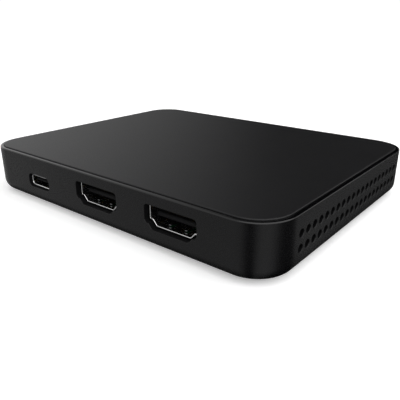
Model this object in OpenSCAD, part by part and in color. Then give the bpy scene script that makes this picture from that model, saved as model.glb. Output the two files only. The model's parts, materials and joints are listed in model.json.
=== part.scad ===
// Video capture box: a flat case with one data socket and two video sockets on its port side.
// Millimetres, +Z up, ports facing -Y, origin on the table under the middle of the case.

/* [Case] */
// Width of the case, along the port side
body_w = 102; // [98:0.5:114]
// Depth of the case, from the port side to the far side
body_d = 80.8; // [80:0.2:94]
// Height of the case, from its underside to the top of the cover
body_h = 14; // [13.8:0.1:17]
// Corner radius seen from above
corner_r = 9.6; // [8.8:0.1:10.2]
// Rounding of the lower edge all round
edge_r = 3.3; // [2:0.1:3.5]
// Thickness of the side walls
wall_t = 2; // [1.8:0.1:2.3]
// Thickness of the floor
floor_t = 1.8; // [1.7:0.1:2.1]
// Width of the polished ledge round the cover
ledge_w = 1; // [0.7:0.05:1.1]
// Drop from the top of the cover to the ledge
ledge_drop = 0.3; // [0.15:0.01:0.5]

/* [Cover] */
// Thickness of the cover plate
cover_t = 1.8; // [1.5:0.1:2]
// Gap between the cover plate and the ledge
cover_gap = 0.15; // [0.1:0.01:0.25]

/* [Feet] */
// Diameter of a foot
foot_d = 10; // [8:0.5:11]
// How far a foot stands out below the case
foot_proud = 0.7; // [0.5:0.1:1.2]
// Distance from the case's edge to the middle of a foot
foot_inset = 11; // [10:0.5:13]

/* [Vents] */
// Diameter of a vent hole
vent_d = 2; // [1.4:0.05:2.1]
// Distance between neighbouring holes in a row
vent_pitch = 3.02; // [2.6:0.01:3.05]
// Holes in a row
vent_count = 20; // [10:1:20]
// Height of the lower row above the underside
vent_low = 5.58; // [5:0.02:6.2]
// Distance between the two rows
vent_rise = 3.5; // [2.8:0.05:3.8]
// Shift of the rows towards the far side
vent_shift = 0.2; // [0:0.1:0.8]

/* [Ports] */
// Distance between neighbouring sockets
port_pitch = 25.1; // [24:0.1:27]
// Depth of a video socket's mouth behind the port face
video_recess = 1.3; // [0.8:0.1:1.8]
// Depth of the data socket's mouth behind the port face
data_recess = 0.8; // [0.3:0.05:0.9]
// Gap between a video socket's shell and its opening in the case
video_gap = 0.4; // [0.3:0.01:0.55]
// Gap between the data socket's shell and its opening in the case
data_gap = 0.25; // [0.2:0.01:0.5]

/* [Board] */
// Thickness of the circuit board
board_t = 1.6; // [1.4:0.1:1.6]
// Height of the standoffs under the circuit board
board_lift = 1.4; // [1.3:0.1:1.7]
// Gap between the circuit board and the side walls
board_gap = 0.8; // [0.5:0.1:1]

/* [Hidden] */
$fn = 64;
// Overrun of a cut past the face that it starts from
cut = 1;
// Clearance round a piece that is dropped into a pocket or a slot
slip = 0.05;
// Depth to which a part of a piece is rooted in the rest of it
root = 0.2;

// Heights above the table
z_under = foot_proud;
z_floor = z_under + floor_t;
z_board = z_floor + board_lift;
z_deck = z_board + board_t;
z_top = z_under + body_h;
z_ledge = z_top - ledge_drop;
z_seat = z_top - cover_t;

// Case
rim_round = 0.3;
cover_round = 0.25;
skirt_gap = 0.2;
skirt_t = 1.2;
skirt_clear = 0.67;
foot_recess = 0.9;
foot_slip = 0.1;
foot_chamfer = 0.3;
label_w = 52;
label_d = 24;
label_r = 2;
label_depth = 0.2;
corners = [[-1, -1], [1, -1], [-1, 1], [1, 1]];
foot_x = body_w / 2 - foot_inset;
foot_y = body_d / 2 - foot_inset;

// Screws
screw_d = 2;
screw_hole_d = 2.5;
screw_pilot_d = 2.06;
head_d = 3.8;
head_h = 1.2;
head_slip = 0.2;
cross_w = 0.5;
cross_l = 2.1;
cross_depth = 0.7;
post_d = 7;
boss_d = 5.6;
boss_clear = 0.1;
head_seat = z_under + foot_recess + head_h + head_slip;
cover_screw_l = 8;
standoff_d = 5;
pilot_floor = 0.6;
board_screw_l = board_t + board_lift + floor_t - pilot_floor - head_slip;

// Board
board_w = body_w - 2 * (wall_t + board_gap);
board_d = body_d - 2 * (wall_t + board_gap);

// Nose of a socket's tongue, bevelled so that a plug finds it
nose = 0.25;

// Video socket: standard mouth of 14 by 4.55, wide side up, its sides stepped in above the slants
video_w = 14.7;
video_h = 5.25;
video_t = 0.35;
video_step_w = 0.95;
video_step_h = 1.41;
video_slant_w = 1.24;
video_bend = 0.5;
video_step_bend = 0.3;
video_bend_min = 0.1;
video_l = 11.1;
video_lift = 0.48;
video_block_l = 4.6;
video_tongue_w = 11.4;
video_tongue_h = 1.1;
video_tongue_up = 0.25;
video_tongue_recess = 1.2;
video_pin_w = 0.42;
video_pin_t = 0.14;
video_pin_pitch = 1;
video_pin_tip = 1.6;
video_pins_top = 10;
video_pins_low = 9;
video_drop_top = 0.9;
video_drop_low = 0.2;
video_tail = 0.6;
finger_x = 2.4;
finger_w = 0.7;
finger_slot = 0.3;
finger_y0 = 1.6;
finger_y1 = 6;
finger_bend = 0.45;
finger_t = 0.15;
leg_w = 1.5;
leg_past = 0.7;
leg_slip = 0.15;
video_leg_y = [3.5, 8.9];
video_z = z_deck + video_lift + video_h / 2;
video_y = -body_d / 2 + video_recess;
video_in_x = 0;
video_out_x = port_pitch;
// Heights from the middle of the mouth: the contacts on both faces of the tongue, and the board
video_face_top = video_tongue_up + video_tongue_h / 2;
video_face_low = video_tongue_up - video_tongue_h / 2 - video_pin_t;
video_deck = z_deck - video_z;

// Data socket: standard flat mouth of 8.34 by 2.6
data_w = 9.14;
data_h = 3.4;
data_t = 0.4;
data_corner = 1.1;
data_l = 7.8;
data_lift = 0.1;
data_block_l = 2.6;
data_tongue_w = 6.7;
data_tongue_h = 0.7;
data_tongue_recess = 0.8;
data_pin_w = 0.26;
data_pin_t = 0.08;
data_pin_pitch = 0.5;
data_pin_tip = 1.2;
data_pins = 12;
data_drop_top = 0.8;
data_drop_low = 0.2;
data_tail = 0.4;
data_leg_y = [4.2, 6.8];
data_z = z_deck + data_lift + data_h / 2;
data_y = -body_d / 2 + data_recess;
data_x = -port_pitch;
data_face_top = data_tongue_h / 2;
data_face_low = -data_tongue_h / 2 - data_pin_t;
data_deck = z_deck - data_z;

// Depth of the cover's skirt, which stays above the video sockets
skirt_h = z_seat - (z_deck + video_lift + video_h) - skirt_clear;

// Screws of the board: two between the sockets, two near the far edge
board_screw_y = 9.1;
board_screw_far = 6.6;
board_screw_x = 22;
board_screw_shift = 1;
board_screw_at = [
    [(data_x + video_in_x) / 2 - board_screw_shift, video_y + board_screw_y],
    [(video_in_x + video_out_x) / 2, video_y + board_screw_y],
    [-board_screw_x, board_d / 2 - board_screw_far],
    [board_screw_x, board_d / 2 - board_screw_far]
];

// Chips behind the sockets, at distances from the sockets' backs
dot_d = 0.8;
dot_depth = 0.1;
video_back = video_y + video_l;
data_back = data_y + data_l;
chip_gap = 13;
receiver_size = [10, 10, 1];
receiver_at = [video_in_x, video_back + chip_gap];
driver_size = [8, 8, 0.9];
driver_at = [video_out_x, video_back + chip_gap];
bridge_size = [9, 9, 0.9];
bridge_at = [data_x, data_back + chip_gap];
array_size = [2.6, 1.2, 0.6];
array_pair = 3;
array_gap = 4.4;
array_at = [
    [video_in_x - array_pair, video_back + array_gap], [video_in_x + array_pair, video_back + array_gap],
    [video_out_x - array_pair, video_back + array_gap], [video_out_x + array_pair, video_back + array_gap],
    [data_x, data_back + array_gap]
];
chip_cap_size = [1.6, 0.8, 0.8];
chip_cap_pitch = 3.2;
chip_cap_count = 5;
chip_cap_near = 6.6;
chip_cap_far = 19.6;
chip_cap_at = [
    [video_in_x, video_back + chip_cap_near], [video_in_x, video_back + chip_cap_far],
    [video_out_x, video_back + chip_cap_near], [video_out_x, video_back + chip_cap_far],
    [data_x, data_back + chip_cap_far]
];
crystal_size = [3.2, 2.5, 0.8];
crystal_x = 12;
crystal_near = 9;
crystal_far = 15;
crystal_at = [
    [video_in_x - crystal_x, video_back + crystal_near],
    [video_in_x + crystal_x, video_back + crystal_far]
];

// Processor in the middle, power supply near the short edges, behind the capacitors of the sockets' chips
processor_at = [0, 8];
processor_size = [19, 19, 1.5];
power_inset = 9.2;
power_gap = 1;
inductor_size = [6, 6, 3];
inductor_x = board_w / 2 - power_inset;
inductor_pitch = 9;
inductor_count = 3;
inductor_first = video_back + chip_cap_far + (chip_cap_size.y + inductor_size.y) / 2 + power_gap;
power_y = [for (i = [0 : inductor_count - 1]) inductor_first + i * inductor_pitch];
regulator_size = [3.2, 3.2, 0.9];
regulator_gap = 5.5;
regulator_x = inductor_x - regulator_gap;
bulk_d = 5;
bulk_h = 5.4;
bulk_base = [5.3, 5.3, 0.9];
bulk_x = power_inset - board_w / 2;
bulk_pitch = 8;
bulk_count = 4;
bulk_first = data_back + chip_cap_far + (chip_cap_size.y + bulk_base.y) / 2 + power_gap;
bulk_y = [for (i = [0 : bulk_count - 1]) bulk_first + i * bulk_pitch];

// Memory between the processor and the power supply
memory_gap = 9;
memory_x = regulator_x - memory_gap;
memory_size = [9, 13, 1.1];
memory_at = [[-memory_x, processor_at.y], [memory_x, processor_at.y]];
flash_size = [5.2, 5.2, 1.8];
flash_gap = 2.5;
flash_at = [-memory_x, data_back + chip_cap_far + (chip_cap_size.y + flash_size.y) / 2 + flash_gap];
flash_lead = [0.4, 0.9, 0.2];
flash_lead_pitch = 1.27;

// Heat sink on the processor
pad_t = 0.5;
sink_w = 38;
sink_d = 30;
sink_base = 1.5;
sink_clear = 1.5;
fin_t = 1;
fin_count = 10;
sink_screw_at = [[-15.5, 11.5], [15.5, -11.5]];
spacer_d = 4;
sink_gap_d = 6;
sink_z = z_deck + processor_size.z + pad_t;
sink_h = z_seat - sink_clear - sink_z;

// Status light on the far side
led_size = [3, 1.4, 1.4];
led_gap = 0.2;
pipe_d = 2;
pipe_slip = 0.08;
pipe_collar_d = 3.6;
pipe_z = z_deck + led_size.z / 2;
// The light's far face is level with the edge of the board
led_y = board_d / 2;

NODES = [
    "base_shell", "top_cover",
    "foot_port_left", "foot_port_right", "foot_far_left", "foot_far_right",
    "cover_screws", "board_screws", "main_board",
    "video_in_shell", "video_in_insulator", "video_in_contacts",
    "video_out_shell", "video_out_insulator", "video_out_contacts",
    "data_shell", "data_insulator", "data_contacts",
    "video_processor", "thermal_pad", "heat_sink", "heat_sink_spacers", "heat_sink_screws",
    "video_receiver", "video_driver", "data_bridge",
    "memory_chip_left", "memory_chip_right", "flash_chip", "crystals",
    "power_inductors", "regulators", "bulk_capacitors", "chip_capacitors", "surge_arrays",
    "status_led", "light_pipe"
];
foot_names = [for (i = [0 : 3]) NODES[2 + i]];

// Unit vector along v
function unit(v) = v / norm(v);

// Corner p between edges of outward normals a and b, after the outline grows by g
function grown_corner(p, a, b, g) = p + g * (a + b) / (1 + a * b);

// Arc that replaces corner p of an anticlockwise outline: radius r on an outer corner, s on an inner one
function corner_arc(before, p, after, r, s, steps) =
    let (
        u = unit(before - p),
        v = unit(after - p),
        side = u.y * v.x > u.x * v.y ? 1 : -1,
        bend = side > 0 ? r : s,
        half = acos(u * v) / 2,
        centre = p + unit(u + v) * bend / sin(half),
        first = atan2(side * u.x, -side * u.y),
        sweep = side * (180 - 2 * half)
    )
    [for (i = [0 : steps]) let (a = first + sweep * i / steps) centre + bend * [cos(a), sin(a)]];

// An outline that is even about x = 0, from its right half, with its corners rounded
function rounded(right, r, s, steps = 6) =
    let (
        left = [for (i = [len(right) - 1 : -1 : 0]) [-right[i].x, right[i].y]],
        points = concat(right, left),
        n = len(points)
    )
    [
        for (i = [0 : n - 1])
            each corner_arc(points[(i + n - 1) % n], points[i], points[(i + 1) % n], r, s, steps)
    ];

// Outline of a video socket's shell, grown by g, centred on the mouth
function video_outline(g) =
    let (
        slope = unit([video_step_h, -video_slant_w]),
        step = [video_w / 2 - video_step_w, video_step_h - video_h / 2],
        foot = grown_corner([step.x - video_slant_w, -video_h / 2], slope, [0, -1], g),
        notch = grown_corner(step, slope, [0, -1], g),
        knee = [video_w / 2 + g, step.y - g],
        top = [video_w / 2 + g, video_h / 2 + g]
    )
    rounded([foot, notch, knee, top], video_bend + g, max(video_step_bend - g, video_bend_min));

module rounded_rect(w, d, r) {
    square([w - 2 * r, d], center = true);
    square([w, d - 2 * r], center = true);
    for (c = corners)
        translate([c.x * (w / 2 - r), c.y * (d / 2 - r)])
            circle(r);
}

// Outline of the data socket's shell, grown by g, centred on the mouth
module data_outline(g) {
    rounded_rect(data_w + 2 * g, data_h + 2 * g, data_corner + g);
}

module slab(w, d, r, z0, z1) {
    translate([0, 0, z0])
        linear_extrude(z1 - z0)
            rounded_rect(w, d, r);
}

// A slab that follows the case's outline at a distance inside it
module inset_slab(inset, z0, z1) {
    slab(body_w - 2 * inset, body_d - 2 * inset, corner_r - inset, z0, z1);
}

// A flat outline in x and z, pushed from y0 to y1
module push_y(y0, y1) {
    translate([0, y1, 0])
        rotate([90, 0, 0])
            linear_extrude(y1 - y0)
                children();
}

// A flat outline in y and z, pushed evenly to both sides of x = 0
module push_x(w) {
    rotate([90, 0, 90])
        linear_extrude(w, center = true)
            children();
}

// Sweeps a wall profile, drawn outward from the corner centre, round a rounded rectangle
module sweep_round(w, d, r) {
    turn = [[1, 1, 0], [-1, 1, 90], [-1, -1, 180], [1, -1, 270]];
    for (c = turn)
        translate([c.x * (w / 2 - r), c.y * (d / 2 - r), 0])
            rotate(c.z)
                rotate_extrude(angle = 90)
                    children();
    for (a = [0, 180])
        rotate(a)
            translate([w / 2 - r, 0, 0])
                rotate([90, 0, 0])
                    linear_extrude(d - 2 * r, center = true)
                        children();
    for (a = [90, 270])
        rotate(a)
            translate([d / 2 - r, 0, 0])
                rotate([90, 0, 0])
                    linear_extrude(w - 2 * r, center = true)
                        children();
}

// What rounding by r takes off an outer corner at [x, y], above it if up is true
module corner_cut(x, y, r, up) {
    translate([x, y])
        mirror([0, up ? 0 : 1])
            translate([-r, -r])
                difference() {
                    square(r + cut);
                    circle(r);
                }
}

// Half section of the tub: floor, wall, ledge and the seat of the cover
module tub_profile() {
    difference() {
        translate([0, z_under])
            square([corner_r, z_ledge - z_under]);
        translate([-cut, z_floor])
            square([corner_r - wall_t + cut, body_h]);
        translate([-cut, z_seat])
            square([corner_r - ledge_w + cut, body_h]);
        corner_cut(corner_r, z_under, edge_r, false);
        corner_cut(corner_r, z_ledge, rim_round, true);
    }
}

module at_feet() {
    for (c = corners)
        translate([c.x * foot_x, c.y * foot_y, 0])
            children();
}

module at_board_screws() {
    for (p = board_screw_at)
        translate([p.x, p.y, 0])
            children();
}

module vents() {
    for (side = [-1, 1], row = [0, 1], i = [0 : vent_count - 1])
        translate([
            side * (body_w - wall_t) / 2,
            vent_shift + (i - (vent_count - 1) / 2) * vent_pitch,
            z_under + vent_low + row * vent_rise
        ])
            rotate([0, 90, 0])
                cylinder(h = wall_t + 2 * cut, d = vent_d, center = true);
}

module port_openings() {
    y0 = -body_d / 2 - cut;
    y1 = -body_d / 2 + wall_t + cut;
    for (x = [video_in_x, video_out_x])
        translate([x, 0, video_z])
            push_y(y0, y1)
                polygon(video_outline(video_gap));
    translate([data_x, 0, data_z])
        push_y(y0, y1)
            data_outline(data_gap);
}

module base_shell() {
    color("#26272a")
        difference() {
            union() {
                sweep_round(body_w, body_d, corner_r)
                    tub_profile();
                translate([corner_r - body_w / 2, corner_r - body_d / 2, z_under])
                    cube([body_w - 2 * corner_r, body_d - 2 * corner_r, floor_t]);
                at_feet()
                    translate([0, 0, z_floor - root])
                        cylinder(h = board_lift + root, d = post_d);
                at_board_screws()
                    translate([0, 0, z_floor - root])
                        cylinder(h = board_lift + root, d = standoff_d);
            }
            vents();
            port_openings();
            at_feet() {
                translate([0, 0, z_under - cut])
                    cylinder(h = foot_recess + cut, d = foot_d + 2 * foot_slip);
                translate([0, 0, z_under])
                    cylinder(h = head_seat - z_under, d = head_d + 2 * head_slip);
                translate([0, 0, z_under])
                    cylinder(h = body_h, d = screw_hole_d);
            }
            at_board_screws()
                translate([0, 0, z_under + pilot_floor])
                    cylinder(h = body_h, d = screw_pilot_d);
            translate([0, body_d / 2 - wall_t / 2, pipe_z])
                rotate([90, 0, 0])
                    cylinder(h = wall_t + 2 * cut, d = pipe_d + 2 * pipe_slip, center = true);
            slab(label_w, label_d, label_r, z_under - cut, z_under + label_depth);
        }
}

module top_cover() {
    w = body_w - 2 * (ledge_w + cover_gap);
    d = body_d - 2 * (ledge_w + cover_gap);
    r = corner_r - ledge_w - cover_gap;
    skirt_out = wall_t + skirt_gap;
    color("#2b2c2f")
        difference() {
            union() {
                sweep_round(w, d, r)
                    difference() {
                        translate([0, z_seat])
                            square([r, cover_t]);
                        corner_cut(r, z_top, cover_round, true);
                    }
                translate([r - w / 2, r - d / 2, z_seat])
                    cube([w - 2 * r, d - 2 * r, cover_t]);
                difference() {
                    inset_slab(skirt_out, z_seat - skirt_h, z_seat);
                    inset_slab(skirt_out + skirt_t, z_seat - skirt_h - cut, z_seat + cut);
                }
                at_feet()
                    translate([0, 0, z_deck + boss_clear])
                        cylinder(h = z_seat + root - z_deck - boss_clear, d = boss_d);
            }
            at_feet()
                translate([0, 0, z_deck])
                    cylinder(h = head_seat + cover_screw_l + head_slip - z_deck, d = screw_pilot_d);
        }
}

module foot(i) {
    r = foot_d / 2;
    h = foot_proud + foot_recess;
    color("#1c1c1d")
        translate([corners[i].x * foot_x, corners[i].y * foot_y, 0])
            rotate_extrude()
                polygon([[0, 0], [r - foot_chamfer, 0], [r, foot_chamfer], [r, h], [0, h]]);
}

// A pan-head screw, pointing down, with the underside of its head at the origin
module screw(l) {
    difference() {
        union() {
            cylinder(h = head_h, d = head_d);
            translate([0, 0, -l])
                cylinder(h = l + root, d = screw_d);
        }
        for (a = [0, 90])
            rotate(a)
                translate([-cross_l / 2, -cross_w / 2, head_h - cross_depth])
                    cube([cross_l, cross_w, cross_depth + cut]);
    }
}

module cover_screws() {
    color("#3a3b3d")
        at_feet()
            translate([0, 0, head_seat])
                rotate([180, 0, 0])
                    screw(cover_screw_l);
}

module board_screws() {
    color("#b9bcc0")
        at_board_screws()
            translate([0, 0, z_deck])
                screw(board_screw_l);
}

module leg_slots(x, y, w, t, leg_ys) {
    for (side = [-1, 1], leg_y = leg_ys)
        translate([x + side * (w - t) / 2, y + leg_y, z_board + board_t / 2])
            cube([t + 2 * leg_slip, leg_w + 2 * leg_slip, board_t + 2 * cut], center = true);
}

module main_board() {
    color("#11301f")
        difference() {
            inset_slab(wall_t + board_gap, z_board, z_deck);
            at_feet()
                translate([0, 0, z_board - cut])
                    cylinder(h = board_t + 2 * cut, d = screw_hole_d);
            at_board_screws()
                translate([0, 0, z_board - cut])
                    cylinder(h = board_t + 2 * cut, d = screw_hole_d);
            for (x = [video_in_x, video_out_x])
                leg_slots(x, video_y, video_w, video_t, video_leg_y);
            leg_slots(data_x, data_y, data_w, data_t, data_leg_y);
        }
}

// Legs of a socket's shell, from the height top down through the board
module shell_legs(w, t, leg_ys, top, bottom) {
    for (side = [-1, 1], leg_y = leg_ys)
        translate([side * (w - t) / 2 - t / 2, leg_y - leg_w / 2, bottom])
            cube([t, leg_w, top - bottom]);
}

// One sprung finger, cut free from a shell wall whose inner face is at z = 0, bent towards +Z
module finger() {
    push_x(finger_w)
        polygon([
            [finger_y1 + root, 0],
            [finger_y0 + finger_t, finger_bend],
            [finger_y0, finger_bend - finger_t / 2],
            [finger_y0, finger_bend - finger_t],
            [finger_y1 + root, -finger_t]
        ]);
}

module video_shell() {
    inner = video_h / 2 - video_t;
    difference() {
        push_y(0, video_l)
            polygon(video_outline(0));
        push_y(-cut, video_l + cut)
            polygon(video_outline(-video_t));
        for (x = [-finger_x, finger_x])
            translate([x - finger_w / 2 - finger_slot, finger_y0 - finger_slot, -video_h])
                cube([finger_w + 2 * finger_slot, finger_y1 - finger_y0 + finger_slot, 2 * video_h]);
    }
    for (x = [-finger_x, finger_x], side = [0, 1])
        translate([x, 0, 0])
            mirror([0, 0, side])
                translate([0, 0, -inner])
                    finger();
    shell_legs(video_w, video_t, video_leg_y, 0, z_board - leg_past - video_z);
}

// One contact on its tongue: a strip, a drop behind the block, and a tail on the board
module contact(pin_w, pin_t, tip, back, tail, z, deck) {
    push_x(pin_w)
        polygon([
            [tip, z], [tip, z + pin_t], [back + pin_t, z + pin_t], [back + pin_t, deck + pin_t],
            [back + tail, deck + pin_t], [back + tail, deck], [back, deck], [back, z]
        ]);
}

function pin_row(count, pitch) = [for (i = [0 : count - 1]) (i - (count - 1) / 2) * pitch];

module video_contacts() {
    for (x = pin_row(video_pins_top, video_pin_pitch))
        translate([x, 0, 0])
            contact(
                video_pin_w, video_pin_t, video_tongue_recess + video_pin_tip, video_l + video_drop_top,
                video_tail, video_face_top, video_deck
            );
    for (x = pin_row(video_pins_low, video_pin_pitch))
        translate([x, 0, 0])
            contact(
                video_pin_w, video_pin_t, video_tongue_recess + video_pin_tip, video_l + video_drop_low,
                video_tail, video_face_low, video_deck
            );
}

// Slots in a socket's block for a row of contacts
module pin_slots(row, pin_w, pin_t, z, y0, y1) {
    for (x = row)
        translate([x - pin_w / 2 - slip / 2, y0, z])
            cube([pin_w + slip, y1 - y0, pin_t + slip / 2]);
}

// A socket's tongue, from the nose to the block
module tongue(w, h, up, front, back) {
    push_x(w)
        polygon([
            [front, up - h / 2 + nose], [front + nose, up - h / 2], [back, up - h / 2],
            [back, up + h / 2], [front + nose, up + h / 2], [front, up + h / 2 - nose]
        ]);
}

module video_insulator() {
    block_y = video_l - video_block_l;
    difference() {
        union() {
            push_y(block_y, video_l)
                polygon(video_outline(-video_t - slip));
            tongue(video_tongue_w, video_tongue_h, video_tongue_up, video_tongue_recess, block_y + root);
        }
        pin_slots(
            pin_row(video_pins_top, video_pin_pitch), video_pin_w, video_pin_t, video_face_top,
            block_y - cut, video_l + cut
        );
        pin_slots(
            pin_row(video_pins_low, video_pin_pitch), video_pin_w, video_pin_t, video_face_low - slip / 2,
            block_y - cut, video_l + cut
        );
    }
}

module data_shell_shape() {
    difference() {
        push_y(0, data_l)
            data_outline(0);
        push_y(-cut, data_l + cut)
            data_outline(-data_t);
    }
    shell_legs(data_w, data_t, data_leg_y, 0, z_board - leg_past - data_z);
}

module data_contacts_shape() {
    for (x = pin_row(data_pins, data_pin_pitch))
        translate([x, 0, 0]) {
            contact(
                data_pin_w, data_pin_t, data_tongue_recess + data_pin_tip, data_l + data_drop_top,
                data_tail, data_face_top, data_deck
            );
            contact(
                data_pin_w, data_pin_t, data_tongue_recess + data_pin_tip, data_l + data_drop_low,
                data_tail, data_face_low, data_deck
            );
        }
}

module data_insulator_shape() {
    block_y = data_l - data_block_l;
    row = pin_row(data_pins, data_pin_pitch);
    difference() {
        union() {
            push_y(block_y, data_l)
                data_outline(-data_t - slip);
            tongue(data_tongue_w, data_tongue_h, 0, data_tongue_recess, block_y + root);
        }
        pin_slots(row, data_pin_w, data_pin_t, data_face_top, block_y - cut, data_l + cut);
        pin_slots(row, data_pin_w, data_pin_t, data_face_low - slip / 2, block_y - cut, data_l + cut);
    }
}

module at_video(x) {
    translate([x, video_y, video_z])
        children();
}

module at_data() {
    translate([data_x, data_y, data_z])
        children();
}

module video_in_shell() {
    color("#b4b6b8")
        at_video(video_in_x)
            video_shell();
}

module video_out_shell() {
    color("#b4b6b8")
        at_video(video_out_x)
            video_shell();
}

module video_in_insulator() {
    color("#1d1d1f")
        at_video(video_in_x)
            video_insulator();
}

module video_out_insulator() {
    color("#1d1d1f")
        at_video(video_out_x)
            video_insulator();
}

module video_in_contacts() {
    color("#c9a64e")
        at_video(video_in_x)
            video_contacts();
}

module video_out_contacts() {
    color("#c9a64e")
        at_video(video_out_x)
            video_contacts();
}

module data_shell() {
    color("#b4b6b8")
        at_data()
            data_shell_shape();
}

module data_insulator() {
    color("#1d1d1f")
        at_data()
            data_insulator_shape();
}

module data_contacts() {
    color("#c9a64e")
        at_data()
            data_contacts_shape();
}

// A block of the given size standing on the board at a place
module on_board(at, size) {
    translate([at.x - size.x / 2, at.y - size.y / 2, z_deck])
        cube(size);
}

// A chip package with the dot that marks its first pin
module chip(at, size) {
    color("#202124")
        difference() {
            on_board(at, size);
            translate([at.x - size.x / 2 + dot_d, at.y + size.y / 2 - dot_d, z_deck + size.z - dot_depth])
                cylinder(h = dot_depth + cut, d = dot_d);
        }
}

module video_processor() {
    chip(processor_at, processor_size);
}

module video_receiver() {
    chip(receiver_at, receiver_size);
}

module video_driver() {
    chip(driver_at, driver_size);
}

module data_bridge() {
    chip(bridge_at, bridge_size);
}

module memory_chip(i) {
    chip(memory_at[i], memory_size);
}

module flash_chip() {
    chip(flash_at, flash_size);
    color("#b9bcc0")
        for (side = [-1, 1], y = pin_row(4, flash_lead_pitch))
            translate([
                flash_at.x + side * (flash_size.x + flash_lead.y) / 2 - flash_lead.y / 2,
                flash_at.y + y - flash_lead.x / 2,
                z_deck
            ])
                cube([flash_lead.y, flash_lead.x, flash_lead.z]);
}

module thermal_pad() {
    color("#8fa3b4")
        translate([
            processor_at.x - processor_size.x / 2, processor_at.y - processor_size.y / 2,
            z_deck + processor_size.z
        ])
            cube([processor_size.x, processor_size.y, pad_t]);
}

module at_sink_screws() {
    for (p = sink_screw_at)
        translate([processor_at.x + p.x, processor_at.y + p.y, 0])
            children();
}

module heat_sink() {
    fin_pitch = (sink_w - fin_t) / (fin_count - 1);
    color("#8a8d91")
        difference() {
            translate([processor_at.x - sink_w / 2, processor_at.y - sink_d / 2, sink_z]) {
                cube([sink_w, sink_d, sink_base]);
                for (i = [0 : fin_count - 1])
                    translate([i * fin_pitch, 0, sink_base - root])
                        cube([fin_t, sink_d, sink_h - sink_base + root]);
            }
            at_sink_screws() {
                translate([0, 0, sink_z + sink_base])
                    cylinder(h = sink_h, d = sink_gap_d);
                translate([0, 0, sink_z - cut])
                    cylinder(h = sink_base + 2 * cut, d = screw_hole_d);
            }
        }
}

module heat_sink_spacers() {
    color("#b08d3e")
        at_sink_screws()
            translate([0, 0, z_deck])
                difference() {
                    cylinder(h = sink_z - z_deck, d = spacer_d);
                    translate([0, 0, -cut])
                        cylinder(h = sink_z - z_deck + 2 * cut, d = screw_pilot_d);
                }
}

module heat_sink_screws() {
    color("#b9bcc0")
        at_sink_screws()
            translate([0, 0, sink_z + sink_base])
                screw(sink_z + sink_base - z_deck - head_slip);
}

module crystals() {
    color("#c4c6c8")
        for (p = crystal_at)
            on_board(p, crystal_size);
}

module power_inductors() {
    color("#4a4b4e")
        for (y = power_y)
            on_board([inductor_x, y], inductor_size);
}

module regulators() {
    for (y = power_y)
        chip([regulator_x, y], regulator_size);
}

module bulk_capacitors() {
    for (y = bulk_y) {
        color("#1d1d1f")
            on_board([bulk_x, y], bulk_base);
        color("#c4c6c8")
            translate([bulk_x, y, z_deck + bulk_base.z - root])
                cylinder(h = bulk_h - bulk_base.z + root, d = bulk_d);
    }
}

module chip_capacitors() {
    color("#a98d6a")
        for (p = chip_cap_at, x = pin_row(chip_cap_count, chip_cap_pitch))
            on_board([p.x + x, p.y], chip_cap_size);
}

module surge_arrays() {
    color("#202124")
        for (p = array_at)
            on_board(p, array_size);
}

module status_led() {
    color("#e8e6da")
        translate([-led_size.x / 2, led_y - led_size.y, z_deck])
            cube(led_size);
}

module light_pipe() {
    y0 = led_y + led_gap;
    y1 = body_d / 2 - wall_t;
    color("#d8dde2")
        translate([0, 0, pipe_z])
            rotate([-90, 0, 0]) {
                translate([0, 0, y0])
                    cylinder(h = body_d / 2 - y0, d = pipe_d);
                translate([0, 0, y0])
                    cylinder(h = y1 - y0, d = pipe_collar_d);
            }
}

base_shell();
top_cover();
for (i = [0 : 3])
    foot(i);
cover_screws();
board_screws();
main_board();
video_in_shell();
video_in_insulator();
video_in_contacts();
video_out_shell();
video_out_insulator();
video_out_contacts();
data_shell();
data_insulator();
data_contacts();
video_processor();
thermal_pad();
heat_sink();
heat_sink_spacers();
heat_sink_screws();
video_receiver();
video_driver();
data_bridge();
memory_chip(0);  // memory_chip_left
memory_chip(1);  // memory_chip_right
flash_chip();
crystals();
power_inductors();
regulators();
bulk_capacitors();
chip_capacitors();
surge_arrays();
status_led();
light_pipe();
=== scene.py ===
# %% [markdown]
# A video capture box
#
# The object is a flat black plastic box, a little larger than a pack of cards. It has a small data socket
# and two wide video sockets on one long side and rows of vent holes in its short sides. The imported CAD
# model is loaded first, because it fixes every size and place. The pieces that the eye meets are then
# modelled again with softer edges, and every piece gets a material.

# %% Load the CAD model
import json
import math

import bmesh
import bpy
from mathutils import Matrix, Vector


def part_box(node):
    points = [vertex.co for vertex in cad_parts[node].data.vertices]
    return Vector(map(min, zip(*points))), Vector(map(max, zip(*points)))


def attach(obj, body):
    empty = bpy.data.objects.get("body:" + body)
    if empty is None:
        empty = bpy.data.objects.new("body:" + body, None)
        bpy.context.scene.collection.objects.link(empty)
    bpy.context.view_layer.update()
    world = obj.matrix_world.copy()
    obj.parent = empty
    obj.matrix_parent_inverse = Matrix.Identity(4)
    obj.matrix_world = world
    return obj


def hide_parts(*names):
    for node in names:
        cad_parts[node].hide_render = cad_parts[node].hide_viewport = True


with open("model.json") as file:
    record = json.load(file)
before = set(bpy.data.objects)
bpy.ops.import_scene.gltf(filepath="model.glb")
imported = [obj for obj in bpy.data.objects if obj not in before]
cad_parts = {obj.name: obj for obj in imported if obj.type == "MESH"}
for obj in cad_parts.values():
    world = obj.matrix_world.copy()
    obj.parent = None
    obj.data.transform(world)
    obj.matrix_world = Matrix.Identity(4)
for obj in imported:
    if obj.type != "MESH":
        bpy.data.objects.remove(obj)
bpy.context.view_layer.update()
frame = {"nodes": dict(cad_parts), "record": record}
nodes = frame["nodes"]

# %% [markdown]
# The camera
#
# A wide view close to the box makes its near corner loom, as in the photograph. The place and the focal
# length come from fitting the box's known edges to the picture, so the camera is set down at that point and
# turned to that aim.

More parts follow.
